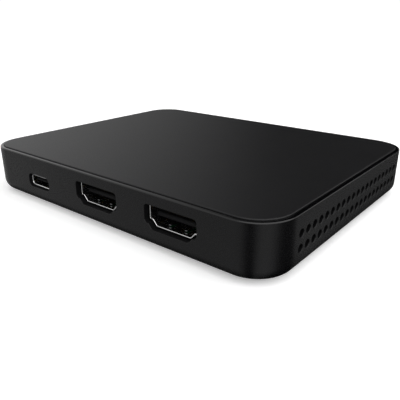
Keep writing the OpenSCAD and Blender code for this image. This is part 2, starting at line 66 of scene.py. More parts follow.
# %% Set up the camera
MM = 0.001
CAMERA_AT = Vector((88.71, -108.13, 50.59)) * MM
CAMERA_AIM = Vector((2.50, -1.70, -3.05)) * MM
FOCAL_LENGTH = 41.64
SENSOR = 36.0
NEAR_CLIP = 0.005

camera_data = bpy.data.cameras.new("camera")
camera_data.lens = FOCAL_LENGTH
camera_data.sensor_width = SENSOR
camera_data.sensor_fit = "HORIZONTAL"
camera_data.clip_start = NEAR_CLIP
camera = bpy.data.objects.new("camera", camera_data)
camera.location = CAMERA_AT
camera.rotation_euler = (CAMERA_AIM - CAMERA_AT).to_track_quat("-Z", "Y").to_euler()
bpy.context.scene.collection.objects.link(camera)
bpy.context.scene.camera = camera
slope = math.asin((CAMERA_AT - CAMERA_AIM).normalized().z)
print("camera looks down at", round(math.degrees(slope), 2), "degrees")

# %% [markdown]
# Small tools for modelling
#
# Modelling by hand goes in turns: add a primitive, pick some of its faces or edges, and shape those. These
# helpers do the picking by place and direction, in millimetres, which is how the case's drawing gives its
# sizes.

# %% Helpers that start a piece and pick its parts
# A direction counts as along an axis from FACING on, and as exactly along it from LEVEL on.
FACING = 0.9
LEVEL = 0.999


def only(*pieces):
    """Selects these objects and nothing else, with the first one active."""
    bpy.ops.object.select_all(action="DESELECT")
    for piece in pieces:
        piece.select_set(True)
    bpy.context.view_layer.objects.active = pieces[0]


def named(name):
    """Names the new primitive and moves its place and size into its mesh."""
    piece = bpy.context.object
    piece.name = piece.data.name = name
    bpy.ops.object.transform_apply()
    return piece


def block(name, low, high):
    """A cube primitive between two corners in mm."""
    bpy.ops.object.select_all(action="DESELECT")
    low, high = Vector(low) * MM, Vector(high) * MM
    bpy.ops.mesh.primitive_cube_add(size=1, location=(low + high) / 2, scale=high - low)
    return named(name)


def rod(name, start, end, diameter, sides=48):
    """A cylinder primitive between two points in mm."""
    bpy.ops.object.select_all(action="DESELECT")
    start, end = Vector(start) * MM, Vector(end) * MM
    turn = (end - start).to_track_quat("Z", "Y").to_euler()
    bpy.ops.mesh.primitive_cylinder_add(
        vertices=sides, radius=diameter * MM / 2, depth=(end - start).length,
        location=(start + end) / 2, rotation=turn,
    )
    return named(name)


def edit(piece):
    """Opens a piece in edit mode."""
    only(piece)
    bpy.ops.object.mode_set(mode="EDIT")


def leave():
    """Goes back to object mode."""
    bpy.ops.object.mode_set(mode="OBJECT")


def pick(piece, kind, test):
    """In edit mode, selects the vertices, edges or faces whose middle in mm and direction pass a test."""
    bpy.ops.mesh.select_mode(type=kind)
    bpy.ops.mesh.select_all(action="DESELECT")
    mesh = bmesh.from_edit_mesh(piece.data)
    mesh.normal_update()
    if kind == "FACE":
        parts = [(face, face.calc_center_median(), face.normal) for face in mesh.faces]
    elif kind == "EDGE":
        parts = [(edge, (edge.verts[0].co + edge.verts[1].co) / 2,
                  (edge.verts[1].co - edge.verts[0].co).normalized()) for edge in mesh.edges]
    else:
        parts = [(vertex, vertex.co, vertex.normal) for vertex in mesh.verts]
    chosen = [part for part, middle, way in parts if test(middle / MM, way)]
    for part in chosen:
        part.select_set(True)
    mesh.select_flush_mode()
    bmesh.update_edit_mesh(piece.data)
    return len(chosen)


def bevel(width, steps):
    """Rounds or chamfers the picked edges, with a width in mm."""
    bpy.ops.mesh.bevel(offset=width * MM, segments=steps, affect="EDGES", clamp_overlap=False)


def pull(x=0, y=0, z=0):
    """Extrudes the picked faces by so many mm."""
    bpy.ops.mesh.extrude_region_move(TRANSFORM_OT_translate={"value": (x * MM, y * MM, z * MM)})


def inset(width):
    """Insets the picked faces by so many mm."""
    bpy.ops.mesh.inset(thickness=width * MM)


def stretch(factors, centre):
    """Scales what is picked about a centre in mm."""
    bpy.ops.transform.resize(value=factors, center_override=Vector(centre) * MM)


def near(value, target, slack=0.02):
    """True for two sizes in mm that differ by a hair at most."""
    return abs(value - target) < slack


# %% Helpers that finish a piece


def apply_all(piece):
    """Applies a piece's modifiers in their order."""
    only(piece)
    for modifier in list(piece.modifiers):
        bpy.ops.object.modifier_apply(modifier=modifier.name)


def combine(piece, tool, operation):
    """Adds a tool solid to a piece, or cuts it away, and removes the tool."""
    modifier = piece.modifiers.new(operation, "BOOLEAN")
    modifier.operation = operation
    modifier.object = tool
    modifier.solver = "EXACT"
    apply_all(piece)
    bpy.data.objects.remove(tool)


def joined(pieces):
    """Joins pieces into the first of them."""
    only(*pieces)
    bpy.ops.object.join()
    return pieces[0]


def copied(piece, name, shift=(0, 0, 0)):
    """A copy with its own mesh, moved by a shift in mm."""
    only(piece)
    bpy.ops.object.duplicate()
    twin = bpy.context.object
    twin.name = twin.data.name = name
    twin.location = Vector(shift) * MM
    bpy.ops.object.transform_apply()
    return twin


def smooth(piece, degrees=35):
    """Smooth shading between faces that meet at a small angle, with flat faces kept flat."""
    only(piece)
    bpy.ops.object.shade_smooth_by_angle(angle=math.radians(degrees))
    weights = piece.modifiers.new("weights", "WEIGHTED_NORMAL")
    weights.keep_sharp = True
    apply_all(piece)


def stands_for(piece, slot, *replaced):
    """Says which CAD nodes a finished piece replaces. The slot of its material is not used."""
    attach(piece, "root")
    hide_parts(*replaced)
    count = sum(len(polygon.vertices) - 2 for polygon in piece.data.polygons)
    print(piece.name, "stands for", ", ".join(replaced), "with", count, "triangles")


# %% [markdown]
# The case
#
# The real case is one moulding: a tub with rounded corners, a rounded lower edge and a narrow polished
# ledge on top of its wall. A cube gets its corners and lower edge by bevelling, and its hollow by insetting
# and extruding the top face twice, once for the seat of the cover and once for the inside. That keeps the
# wall even all the way round.

# %% Model the tub
case_low, case_high = (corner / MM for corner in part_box("base_shell"))
CORNER = 9.6
LOWER_ROUND = 3.3
WALL = 2.0
FLOOR = 1.8
LEDGE = 1.0
RIM_ROUND = 0.3
LEDGE_EASE = 0.06
LEDGE_SLACK = 0.1
SEAT_DROP = 1.5
CORNER_STEPS = 24
ROUND_STEPS = 10
RIM_STEPS = 3
EASE_STEPS = 2


def inside_by(point):
    """How far a point lies inside the case's outline, seen from above, in mm."""
    over_x = max(abs(point.x) - (case_high.x - CORNER), 0)
    over_y = max(abs(point.y) - (case_high.y - CORNER), 0)
    return CORNER - math.hypot(over_x, over_y)


case = block("case_moulding", case_low, case_high)
edit(case)
pick(case, "EDGE", lambda middle, way: abs(way.z) > FACING)
bevel(CORNER, CORNER_STEPS)
pick(case, "EDGE", lambda middle, way: near(middle.z, case_low.z))
bevel(LOWER_ROUND, ROUND_STEPS)
pick(case, "FACE", lambda middle, way: way.z > FACING)
inset(LEDGE)
pull(z=-SEAT_DROP)
inset(WALL - LEDGE)
pull(z=case_low.z + FLOOR - case_high.z + SEAT_DROP)
pick(case, "EDGE", lambda middle, way: near(middle.z, case_high.z) and inside_by(middle) < LEDGE / 2)
bevel(RIM_ROUND, RIM_STEPS)
pick(case, "EDGE", lambda middle, way: (
    near(middle.z, case_high.z) and near(inside_by(middle), LEDGE, LEDGE_SLACK)
))
bevel(LEDGE_EASE, EASE_STEPS)
leave()
print("tub faces:", len(case.data.polygons))

# %% [markdown]
# Posts and screw holes
#
# Four posts at the corners carry the cover screws, and four standoffs carry the circuit board. They are
# moulded with the floor, so plain rods are joined to it and their holes are then cut from below or above.

# %% Add the posts and standoffs and cut their holes
FEET = ("foot_port_left", "foot_port_right", "foot_far_left", "foot_far_right")
FOOT_RECESS = 0.9
FOOT_HOLE = 10.2
HEAD_HOLE = 4.2
HEAD_SEAT = 2.3
SCREW_HOLE = 2.5
PILOT_HOLE = 2.06
PILOT_FLOOR = 0.6
SCREW_REACH = 6
POST = 7
STANDOFF = 5
POST_LIFT = 1.4
POST_ROOT = 0.2
CUT = 1  # how far a cutter runs past what it cuts
BOARD_SCREWS = ((-13.55, -30), (12.55, -30), (-22, 31), (22, 31))
under = case_low.z
post_top = under + FLOOR + POST_LIFT
foot_places = [(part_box(name)[0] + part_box(name)[1]) / 2 / MM for name in FEET]
board_screw_places = [Vector((x, y, 0)) for x, y in BOARD_SCREWS]


def upright(name, place, low, high, diameter):
    """A standing rod at a place, between two heights."""
    return rod(name, (place.x, place.y, low), (place.x, place.y, high), diameter)


posts = [upright("post", place, under + FLOOR - POST_ROOT, post_top, POST) for place in foot_places]
posts += [
    upright("standoff", place, under + FLOOR - POST_ROOT, post_top, STANDOFF) for place in board_screw_places
]
combine(case, joined(posts), "UNION")
for low, high, width in (
    (-CUT, FOOT_RECESS, FOOT_HOLE), (0, HEAD_SEAT, HEAD_HOLE), (0, SCREW_REACH, SCREW_HOLE),
):
    holes = [upright("hole", place, under + low, under + high, width) for place in foot_places]
    combine(case, joined(holes), "DIFFERENCE")
pilot_low = under + PILOT_FLOOR
pilots = [upright("pilot", place, pilot_low, post_top + CUT, PILOT_HOLE) for place in board_screw_places]
combine(case, joined(pilots), "DIFFERENCE")
print("case with posts:", len(case.data.polygons), "faces")

# %% [markdown]
# The sockets' outlines
#
# A video socket's shell is a flat box whose sides step in and then slant to a narrower bottom. A cube makes
# the wide part, and the middle of its lower face is extruded down and narrowed. A data socket is a flat box
# with round corners. The long edges are bevelled to the bend of the sheet. The openings in the case follow
# the same outlines with a gap all round, so each helper can also make its solid larger by so many
# millimetres.

# %% Helpers for the sockets' outlines
VIDEO_WIDTH = 14.7
VIDEO_HEIGHT = 5.25
VIDEO_BEND = 0.5
STEP_WIDTH = 0.95
STEP_HEIGHT = 1.41
STEP_BEND = 0.3
SLANT_WIDTH = 1.24
BEND_MIN = 0.1
DATA_WIDTH = 9.14
DATA_HEIGHT = 3.4
DATA_CORNER = 1.1
BEND_STEPS = 5
SAME_PLANE = 1  # degrees


def round_along(piece, centre, x, z, radius, turn):
    """Rounds the two long edges at x from a centre and at height z, where the outline turns by an angle."""
    pick(piece, "EDGE", lambda middle, way: (
        abs(way.y) > FACING and near(abs(middle.x - centre.x), x) and near(middle.z, z)
    ))
    bevel(radius * math.tan(turn / 2), BEND_STEPS)


def video_solid(name, centre, grow, start, end):
    """A solid of a video socket's outline, grown by so many mm, between two depths."""
    slant_turn = math.atan2(STEP_HEIGHT, SLANT_WIDTH)
    half = VIDEO_WIDTH / 2 + grow
    notch = VIDEO_WIDTH / 2 - STEP_WIDTH + grow * math.tan(slant_turn / 2)
    foot = notch - SLANT_WIDTH
    top = centre.z + VIDEO_HEIGHT / 2 + grow
    bottom = centre.z - VIDEO_HEIGHT / 2 - grow
    step = bottom + STEP_HEIGHT
    solid = block(name, (centre.x - half, start, step), (centre.x + half, end, top))
    edit(solid)
    for x in (centre.x - notch, centre.x + notch):
        bpy.ops.mesh.select_all(action="SELECT")
        bpy.ops.mesh.bisect(plane_co=(x * MM, 0, 0), plane_no=(1, 0, 0))
    pick(solid, "FACE", lambda middle, way: way.z < -FACING and near(middle.x, centre.x))
    pull(z=-STEP_HEIGHT)
    stretch((foot / notch, 1, 1), centre)
    bpy.ops.mesh.select_all(action="SELECT")
    bpy.ops.mesh.dissolve_limited(angle_limit=math.radians(SAME_PLANE))
    for height in (top, step):
        round_along(solid, centre, half, height, VIDEO_BEND + grow, math.pi / 2)
    round_along(solid, centre, notch, step, max(STEP_BEND - grow, BEND_MIN), slant_turn)
    round_along(solid, centre, foot, bottom, VIDEO_BEND + grow, slant_turn)
    leave()
    return solid


def data_solid(name, centre, grow, start, end):
    """A solid of a data socket's outline, grown by so many mm, between two depths."""
    half = DATA_WIDTH / 2 + grow
    rise = DATA_HEIGHT / 2 + grow
    solid = block(name, (centre.x - half, start, centre.z - rise), (centre.x + half, end, centre.z + rise))
    edit(solid)
    for height in (centre.z - rise, centre.z + rise):
        round_along(solid, centre, half, height, DATA_CORNER + grow, math.pi / 2)
    leave()
    return solid


# %% [markdown]
# Openings in the case
#
# A moulded opening never has a knife edge: its mouth is eased by a hair. The cutting solid gets that shape,
# a little wide up to the face and narrowing behind it, so one Boolean cut makes opening and eased edge
# together. One vent hole is modelled, and array and mirror modifiers set out the rows on both short sides.

# %% Cut the openings for the sockets
EASE = 0.05
VIDEO_GAP = 0.4
DATA_GAP = 0.25
face_y = case_low.y
video_in_low, video_in_high = (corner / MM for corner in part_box("video_in_shell"))
video_out_low, video_out_high = (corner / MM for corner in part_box("video_out_shell"))
data_low, data_high = (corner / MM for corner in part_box("data_shell"))


def mouth_of(low, high, height):
    """The middle of a socket's mouth: its shell's legs hang lower, so it is measured from the shell's top."""
    return Vector(((low.x + high.x) / 2, low.y, high.z - height / 2))


video_in_mouth = mouth_of(video_in_low, video_in_high, VIDEO_HEIGHT)
video_out_mouth = mouth_of(video_out_low, video_out_high, VIDEO_HEIGHT)
data_mouth = mouth_of(data_low, data_high, DATA_HEIGHT)


def narrow(cutter, centre, width, height):
    """Draws a cutter in behind the port face by the ease, then runs it on through the wall."""
    edit(cutter)
    pick(cutter, "FACE", lambda middle, way: way.y > FACING)
    pull(y=EASE)
    stretch((1 - 2 * EASE / width, 1, 1 - 2 * EASE / height), centre)
    pull(y=WALL + CUT)
    leave()
    combine(case, cutter, "DIFFERENCE")


wide = VIDEO_GAP + EASE
for mouth in (video_in_mouth, video_out_mouth):
    cutter = video_solid("port_cutter", mouth, wide, face_y - CUT, face_y)
    narrow(cutter, mouth, VIDEO_WIDTH + 2 * wide, VIDEO_HEIGHT + 2 * wide)
wide = DATA_GAP + EASE
cutter = data_solid("port_cutter", data_mouth, wide, face_y - CUT, face_y)
narrow(cutter, data_mouth, DATA_WIDTH + 2 * wide, DATA_HEIGHT + 2 * wide)
print("mouths at", [tuple(round(v, 3) for v in m) for m in (video_in_mouth, video_out_mouth, data_mouth)])

# %% Cut the vents, the light's hole and the label's recess
VENT = 2.0
VENT_EASE = 0.08
VENT_PITCH = 3.02
VENT_COUNT = 20
VENT_ROWS = 2
VENT_SIDES = 24
VENT_LOW = 5.58
VENT_RISE = 3.5
VENT_SHIFT = 0.2
LABEL = (52, 24, 0.2)
LABEL_CORNER = 2
LABEL_STEPS = 8
LIGHT_HOLE = 2.16
light_low, light_high = (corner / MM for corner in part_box("light_pipe"))
light_z = (light_low.z + light_high.z) / 2
vent_at = Vector((case_high.x, VENT_SHIFT - VENT_PITCH * (VENT_COUNT - 1) / 2, under + VENT_LOW))
vent = rod("vent_cutter", vent_at + Vector((CUT, 0, 0)), vent_at, VENT + 2 * VENT_EASE, VENT_SIDES)
edit(vent)
pick(vent, "FACE", lambda middle, way: way.x < -FACING)
pull(x=-VENT_EASE)
taper = VENT / (VENT + 2 * VENT_EASE)
stretch((1, taper, taper), vent_at)
pull(x=-WALL - CUT)
leave()
for count, step in ((VENT_COUNT, (0, VENT_PITCH, 0)), (VENT_ROWS, (0, 0, VENT_RISE))):
    row = vent.modifiers.new("row", "ARRAY")
    row.use_relative_offset = False
    row.use_constant_offset = True
    row.count = count
    row.constant_offset_displace = Vector(step) * MM
vent.modifiers.new("other side", "MIRROR")
apply_all(vent)
combine(case, vent, "DIFFERENCE")
light_start = (0, case_high.y - WALL - CUT, light_z)
light_end = (0, case_high.y + CUT, light_z)
combine(case, rod("light_cutter", light_start, light_end, LIGHT_HOLE), "DIFFERENCE")
label_start = (-LABEL[0] / 2, -LABEL[1] / 2, under - CUT)
label_end = (LABEL[0] / 2, LABEL[1] / 2, under + LABEL[2])
label = block("label_cutter", label_start, label_end)
edit(label)
pick(label, "EDGE", lambda middle, way: abs(way.z) > FACING)
bevel(LABEL_CORNER, LABEL_STEPS)
leave()
combine(case, label, "DIFFERENCE")
smooth(case)
stands_for(case, "case_plastic", "base_shell")

# %% [markdown]
# The cover
#
# The cover is a flat plate that drops into the ledge, with a hair of a gap round it. A skirt under it keeps
# it in place, and four bosses take the screws from below. The plate's upper edge is rounded by a quarter of
# a millimetre, which is what draws the fine bright line round it.

# %% Model the cover plate
cover_low, cover_high = (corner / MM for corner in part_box("top_cover"))
COVER_THICK = 1.8
COVER_ROUND = 0.25
COVER_STEPS = 4
cover_inset = inside_by(Vector((cover_high.x, 0)))
SKIRT_INSET = 2.2
SKIRT_THICK = 1.2
SKIRT_DEEP = 1.0
BOSS = 5.6
BOSS_HOLE_TOP = 11.2
seat_z = cover_high.z - COVER_THICK
cover = block("cover_plate", (cover_low.x, cover_low.y, seat_z), cover_high)
edit(cover)
pick(cover, "EDGE", lambda middle, way: abs(way.z) > FACING)
bevel(CORNER - cover_inset, CORNER_STEPS)
pick(cover, "EDGE", lambda middle, way: near(middle.z, cover_high.z))
bevel(COVER_ROUND, COVER_STEPS)
pick(cover, "FACE", lambda middle, way: way.z < -FACING)
inset(SKIRT_INSET - cover_inset)
inset(SKIRT_THICK)
skirt_end = SKIRT_INSET + SKIRT_THICK
pick(cover, "FACE", lambda middle, way: way.z < -FACING and SKIRT_INSET < inside_by(middle) < skirt_end)
pull(z=-SKIRT_DEEP)
leave()
bosses = [upright("boss", place, cover_low.z, seat_z + POST_ROOT, BOSS) for place in foot_places]
combine(cover, joined(bosses), "UNION")
holes = [upright("hole", place, cover_low.z - CUT, BOSS_HOLE_TOP, PILOT_HOLE) for place in foot_places]
combine(cover, joined(holes), "DIFFERENCE")
smooth(cover)
stands_for(cover, "cover_plastic", "top_cover")

# %% [markdown]
# The feet
#
# Each foot is a moulded rubber disc, pressed into a round recess over a cover screw. A cylinder gets a
# rounded lower edge, and its lower face is inset and pushed in a little, because such feet stand on a rim
# and are dished inside it.

# %% Model one foot and copy it
FOOT_ROUND = 0.45
FOOT_STEPS = 5
FOOT_RIM = 1.3
DISH = 0.15
first_low, first_high = (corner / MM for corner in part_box(FEET[0]))
first = foot_places[0]
foot = upright("rubber_foot_1", first, first_low.z, first_high.z, first_high.x - first_low.x)
edit(foot)
pick(foot, "EDGE", lambda middle, way: near(middle.z, first_low.z))
bevel(FOOT_ROUND, FOOT_STEPS)
pick(foot, "FACE", lambda middle, way: way.z < -LEVEL)
inset(FOOT_RIM)
inset(DISH)
bpy.ops.transform.translate(value=(0, 0, DISH * MM))
leave()
feet = [foot]
for number, place in enumerate(foot_places[1:], start=2):
    feet.append(copied(foot, f"rubber_foot_{number}", place - first))
for piece, node in zip(feet, FEET):
    smooth(piece)
    stands_for(piece, "foot_rubber", node)

# %% [markdown]
# The sockets' shells
#
# A shell is thin plated sheet, folded to a tube, and its lip is rounded where it was sheared and coined.
# The round is what catches the light: the lower and left lips mirror the room above and in front, the
# others the dark inside. So the tube is made as a skin, thickened inwards by Solidify, and the two edges of
# its lip are bevelled almost to a half round. Sprung fingers are cut free in the video shells, and legs go
# down through the board.

# %% Helpers for a shell
LIP_STEPS = 5
LEG = 1.5
LEG_TOP = 0.6
LEG_CHAMFER = 0.35
LEG_STEPS = 2
SHELL_ANGLE = 40  # degrees between faces that are shaded as one


def tube(solid, mouth, thick, lip):
    """Turns a solid outline into a thin open tube with a rounded lip."""
    edit(solid)
    pick(solid, "FACE", lambda middle, way: abs(way.y) > FACING)
    bpy.ops.mesh.delete(type="FACE")
    leave()
    wall = solid.modifiers.new("wall", "SOLIDIFY")
    wall.thickness = thick * MM
    wall.offset = -1
    wall.use_even_offset = True
    apply_all(solid)
    edit(solid)
    pick(solid, "FACE", lambda middle, way: way.y < -FACING and near(middle.y, mouth.y))
    bpy.ops.mesh.region_to_loop()
    bevel(lip, LIP_STEPS)
    leave()
    return solid


def legs_for(mouth, width, thick, places, top, bottom):
    """Flat legs under the two sides of a shell, with their lower ends drawn in."""
    made = []
    for side in (-1, 1):
        x = mouth.x + side * (width - thick) / 2
        for place in places:
            y = mouth.y + place
            leg = block("leg", (x - thick / 2, y - LEG / 2, bottom), (x + thick / 2, y + LEG / 2, top))
            edit(leg)
            pick(leg, "EDGE", lambda middle, way: near(middle.z, bottom) and abs(way.x) > FACING)
            bevel(LEG_CHAMFER, LEG_STEPS)
            leave()
            made.append(leg)
    return made


# %% Model a video socket's shell and copy it
VIDEO_THICK = 0.35
VIDEO_LENGTH = 11.1
LIP_ROUND = 0.12
VIDEO_LEGS = (3.5, 8.9)
FINGER_X = 2.4
FINGER_WIDTH = 0.7
FINGER_SLOT = 0.3
FINGER_THICK = 0.15
FINGER_ROOT = 6.0
FINGER_LAP = 0.2
FINGER_BEND = ((5.0, 0.08), (3.9, 0.24), (2.9, 0.4), (1.85, 0.45), (1.6, 0.4))


def finger(mouth, x, side):
    """A sprung finger in the lower wall for side -1 or the upper for 1, bent inwards."""
    inner = mouth.z + side * (VIDEO_HEIGHT / 2 - VIDEO_THICK)
    outer = inner + side * FINGER_THICK
    tip = FINGER_BEND[-1][0]
    strip = block(
        "finger", (x - FINGER_WIDTH / 2, mouth.y + tip, min(inner, outer)),
        (x + FINGER_WIDTH / 2, mouth.y + FINGER_ROOT + FINGER_LAP, max(inner, outer)),
    )
    edit(strip)
    for place, rise in FINGER_BEND[:-1]:
        bpy.ops.mesh.select_all(action="SELECT")
        bpy.ops.mesh.bisect(plane_co=(0, (mouth.y + place) * MM, 0), plane_no=(0, 1, 0))
    for place, rise in FINGER_BEND:
        pick(strip, "VERT", lambda middle, way: near(middle.y, mouth.y + place))
        bpy.ops.transform.translate(value=(0, 0, -side * rise * MM))
    leave()
    return strip


mouth = video_in_mouth
video_shell = tube(
    video_solid("video_in_tube", mouth, 0, mouth.y, mouth.y + VIDEO_LENGTH), mouth, VIDEO_THICK, LIP_ROUND
)
half_slot = FINGER_WIDTH / 2 + FINGER_SLOT
slot_start = mouth.y + FINGER_BEND[-1][0] - FINGER_SLOT
for x in (mouth.x - FINGER_X, mouth.x + FINGER_X):
    slot = block("slot", (x - half_slot, slot_start, mouth.z - VIDEO_HEIGHT),
                 (x + half_slot, mouth.y + FINGER_ROOT, mouth.z + VIDEO_HEIGHT))
    combine(video_shell, slot, "DIFFERENCE")
fingers = [finger(mouth, mouth.x + x, side) for x in (-FINGER_X, FINGER_X) for side in (-1, 1)]
legs = legs_for(mouth, VIDEO_WIDTH, VIDEO_THICK, VIDEO_LEGS, mouth.z - LEG_TOP, video_in_low.z)
joined([video_shell] + fingers + legs)
smooth(video_shell, SHELL_ANGLE)
video_twin = copied(video_shell, "video_out_tube", video_out_mouth - video_in_mouth)
stands_for(video_shell, "socket_steel", "video_in_shell")
stands_for(video_twin, "socket_steel", "video_out_shell")

# %% Model the data socket's shell
DATA_THICK = 0.4
DATA_LENGTH = 7.8
DATA_LIP = 0.14
DATA_LEGS = (4.2, 6.8)
mouth = data_mouth
data_shell = tube(
    data_solid("data_tube", mouth, 0, mouth.y, mouth.y + DATA_LENGTH), mouth, DATA_THICK, DATA_LIP
)
joined([data_shell] + legs_for(mouth, DATA_WIDTH, DATA_THICK, DATA_LEGS, mouth.z - LEG_TOP, data_low.z))
smooth(data_shell, SHELL_ANGLE)
stands_for(data_shell, "socket_steel", "data_shell")

# %% [markdown]
# The light pipe
#
# A short rod of clear plastic carries the status light to the far side. Its outer end is flush with the
# case and slightly rounded, and a collar inside stops it from falling out.

# %% Model the light pipe
PIPE = 2.0
PIPE_ROUND = 0.3
PIPE_STEPS = 5
COLLAR_END = case_high.y - WALL
pipe = rod("light_rod", (0, light_low.y, light_z), (0, COLLAR_END, light_z), light_high.x - light_low.x)
edit(pipe)
pick(pipe, "FACE", lambda middle, way: way.y > FACING)
inset((light_high.x - light_low.x - PIPE) / 2)
pull(y=light_high.y - COLLAR_END)
bpy.ops.mesh.region_to_loop()
bevel(PIPE_ROUND, PIPE_STEPS)
leave()
smooth(pipe)
stands_for(pipe, "pipe_acrylic", "light_pipe")

# %% [markdown]
# Tools for materials
#
# Each material starts from the real one and how its surface was made. Its colours are written as on a paint
# card, in hex, and turned to the linear values that a shader takes. Its patterns are sized in millimetres:
# a texture node's scale is the number of its features in a metre, because the pieces are modelled in
# metres.

# %% Helpers for materials
FACTOR, COLOUR_A, COLOUR_B, COLOUR_OUT = 0, 6, 7, 2
DRIFT = 11
NOISE_LOW, NOISE_HIGH = 0.3, 0.7


def linear(code):
    """An sRGB hex colour as linear values."""
    channels = [int(code[i:i + 2], 16) / 255 for i in (1, 3, 5)]
    return [c / 12.92 if c <= 0.04045 else ((c + 0.055) / 1.055) ** 2.4 for c in channels] + [1]


def per_metre(size):
    """The scale of a pattern whose features are so many mm across."""
    return 1000 / size


def add(tree, kind, sockets=None, **settings):
    """Adds a node. A socket is given a value, or another node's output to link from."""
    node = tree.nodes.new("ShaderNode" + kind)
    for name, value in settings.items():
        setattr(node, name, value)
    for name, value in (sockets or {}).items():
        if isinstance(value, bpy.types.NodeSocket):
            tree.links.new(value, node.inputs[name])
        else:
            node.inputs[name].default_value = value
    return node


def new_finish(name):
    """A material with an empty node tree, and the Object coordinates in it."""
    material = bpy.data.materials.new(name)
    material.use_nodes = True
    tree = material.node_tree
    tree.nodes.clear()
    return material, tree, add(tree, "TexCoord").outputs["Object"]


def close(tree, sockets):
    """Ends a node tree with a Principled shader and the output."""
    shader = add(tree, "BsdfPrincipled", sockets)
    add(tree, "OutputMaterial", {"Surface": shader.outputs["BSDF"]})


def grained(name, colours, rough, grain, relief, stretch_to=(1, 1, 1), **fixed):
    """A surface whose colour drifts over a centimetre, with a fine grain in mm in its gloss and relief."""
    material, tree, place = new_finish(name)
    along = add(tree, "Mapping", {"Vector": place, "Scale": stretch_to}).outputs["Vector"]
    fine = add(tree, "TexNoise", {"Vector": along, "Scale": per_metre(grain), "Detail": 3.0}).outputs["Fac"]
    drift = add(tree, "TexNoise", {"Vector": place, "Scale": per_metre(DRIFT), "Detail": 2.0}).outputs["Fac"]
    dark, light = (linear(code) for code in colours)
    tone = add(tree, "Mix", {
        FACTOR: drift, COLOUR_A: dark, COLOUR_B: light,
    }, data_type="RGBA").outputs[COLOUR_OUT]
    gloss = add(tree, "MapRange", {
        "Value": fine, "From Min": NOISE_LOW, "From Max": NOISE_HIGH, "To Min": rough[0], "To Max": rough[1],
    }).outputs["Result"]
    bump = add(tree, "Bump", {"Height": fine, "Distance": relief * MM}).outputs["Normal"]
    close(tree, {"Base Color": tone, "Roughness": gloss, "Normal": bump, **fixed})
    return material


# %% [markdown]
# Black plastic
#
# The case and cover are black ABS. The mould was spark-eroded, which leaves a grain of about a fifth of a
# millimetre and a satin look, and the ledge was polished, so it mirrors the room. The inside is as rough as
# the cutter left the mould. It is also given a darker colour and a much weaker reflection, and on the walls
# of the openings that is painted shade. Grain this fine hardly shows in a picture of the whole box: it is
# drawn at that size, and what the eye gets is a broad, soft sheen.

# %% Finishes of the case and cover
case_plastic = grained(
    "spark_textured_black_abs", ("#080809", "#0b0b0c"), (0.24, 0.30), 0.25, 0.003,
    **{"Specular IOR Level": 0.25},
)
ledge_plastic = grained(
    "polished_black_abs", ("#040405", "#060607"), (0.12, 0.17), 0.6, 0.0004, **{"Specular IOR Level": 0.34},
)
cover_plastic = grained(
    "satin_black_abs", ("#0f0f10", "#131314"), (0.40, 0.48), 0.25, 0.003, **{"Specular IOR Level": 0.23},
)
# Painted shade: darker than the outside and mirroring less than half as much, for the shade on the walls of
# the openings.
core_plastic = grained(
    "dull_black_abs_painted_shade", ("#050506", "#080809"), (0.60, 0.70), 0.4, 0.004, **{"Specular IOR Level": 0.10},
)
cover.data.materials.append(cover_plastic)
for finish in (case_plastic, ledge_plastic, core_plastic):
    case.data.materials.append(finish)

# %% Share out the case's finishes
LEDGE_SLOT, CORE_SLOT = 1, 2
SKIN = 0.01
ledge_foot = case_high.z - SEAT_DROP / 2


def paint(piece, slot, test):
    """Gives the material in a slot to the faces that pass a test, and counts them."""
    edit(piece)
    count = pick(piece, "FACE", test)
    piece.active_material_index = slot
    bpy.ops.object.material_slot_assign()
    leave()
    return count


def on_ledge(middle, way):
    """True for the faces of the ledge, inside the case's outer skin."""
    return middle.z > ledge_foot and inside_by(middle) > SKIN


def lies_inside(middle, way):
    """True for the faces behind the case's outer skin, and so for the walls of its openings."""
    return LOWER_ROUND < middle.z < ledge_foot and inside_by(middle) > EASE


print("polished faces on the ledge:", paint(case, LEDGE_SLOT, on_ledge))
# The inside faces, with the walls of the openings, get the plastic with painted shade.
print("dull faces inside:", paint(case, CORE_SLOT, lies_inside))

# %% [markdown]
# Rubber, socket steel and clear plastic
#
# Rubber feet are dull and slightly dusty. The sockets' shells are steel with nickel plating, rolled
# lengthways before it was folded, so its fine lines run along the tube. The lip keeps the plating's own
# bright colour. The sheet and its sprung fingers behind it get a much darker grey, which is painted shade
# for the shade inside the socket. The light pipe is clear acrylic with a frosted face.

# %% Finishes of the feet, shells and light pipe
LIP_DEEP = 0.2
TUBE_SLOT = 1
foot_rubber = grained("moulded_rubber", ("#161617", "#1d1d1e"), (0.62, 0.78), 0.3, 0.006, IOR=1.52)
socket_steel = grained(
    "bright_nickel_plated_steel", ("#dcdcdd", "#e6e6e5"), (0.16, 0.26), 0.2, 0.0006, (1, 0.1, 1),
    Metallic=1.0,
)
# Painted shade: the part of a shell behind its lip gets this darker grey, which stands in for the shade
# inside the socket.
tube_steel_painted_shade = grained(
    "nickel_steel_painted_shade", ("#98989a", "#a4a4a4"), (0.19, 0.29), 0.2, 0.0006, (1, 0.1, 1), Metallic=1.0,
)
pipe_acrylic = grained(
    "frosted_acrylic", ("#dfe4e8", "#eef2f4"), (0.3, 0.45), 0.15, 0.002, IOR=1.49,
)
for piece in feet:
    piece.data.materials.append(foot_rubber)
# Each shell's lip keeps the bright plating, and the faces behind it get the darker grey of painted shade.
for piece, mouth in ((video_shell, video_in_mouth), (video_twin, video_out_mouth), (data_shell, data_mouth)):
    piece.data.materials.append(socket_steel)
    piece.data.materials.append(tube_steel_painted_shade)
    paint(piece, TUBE_SLOT, lambda middle, way: middle.y > mouth.y + LIP_DEEP)
pipe.data.materials.append(pipe_acrylic)
print("finished", len(feet), "feet, three shells and the light pipe")

# %% [markdown]
# What is inside
#
# The sockets' tongues and contacts are seen a little way in, and the rest is hidden by the case. Their CAD
# solids have the right shape, so they stay and only get materials: black nylon, gold flash, the board's
# green mask with its copper lines showing through, black resin chips, and the metals of the screws, cans
# and heat sink.

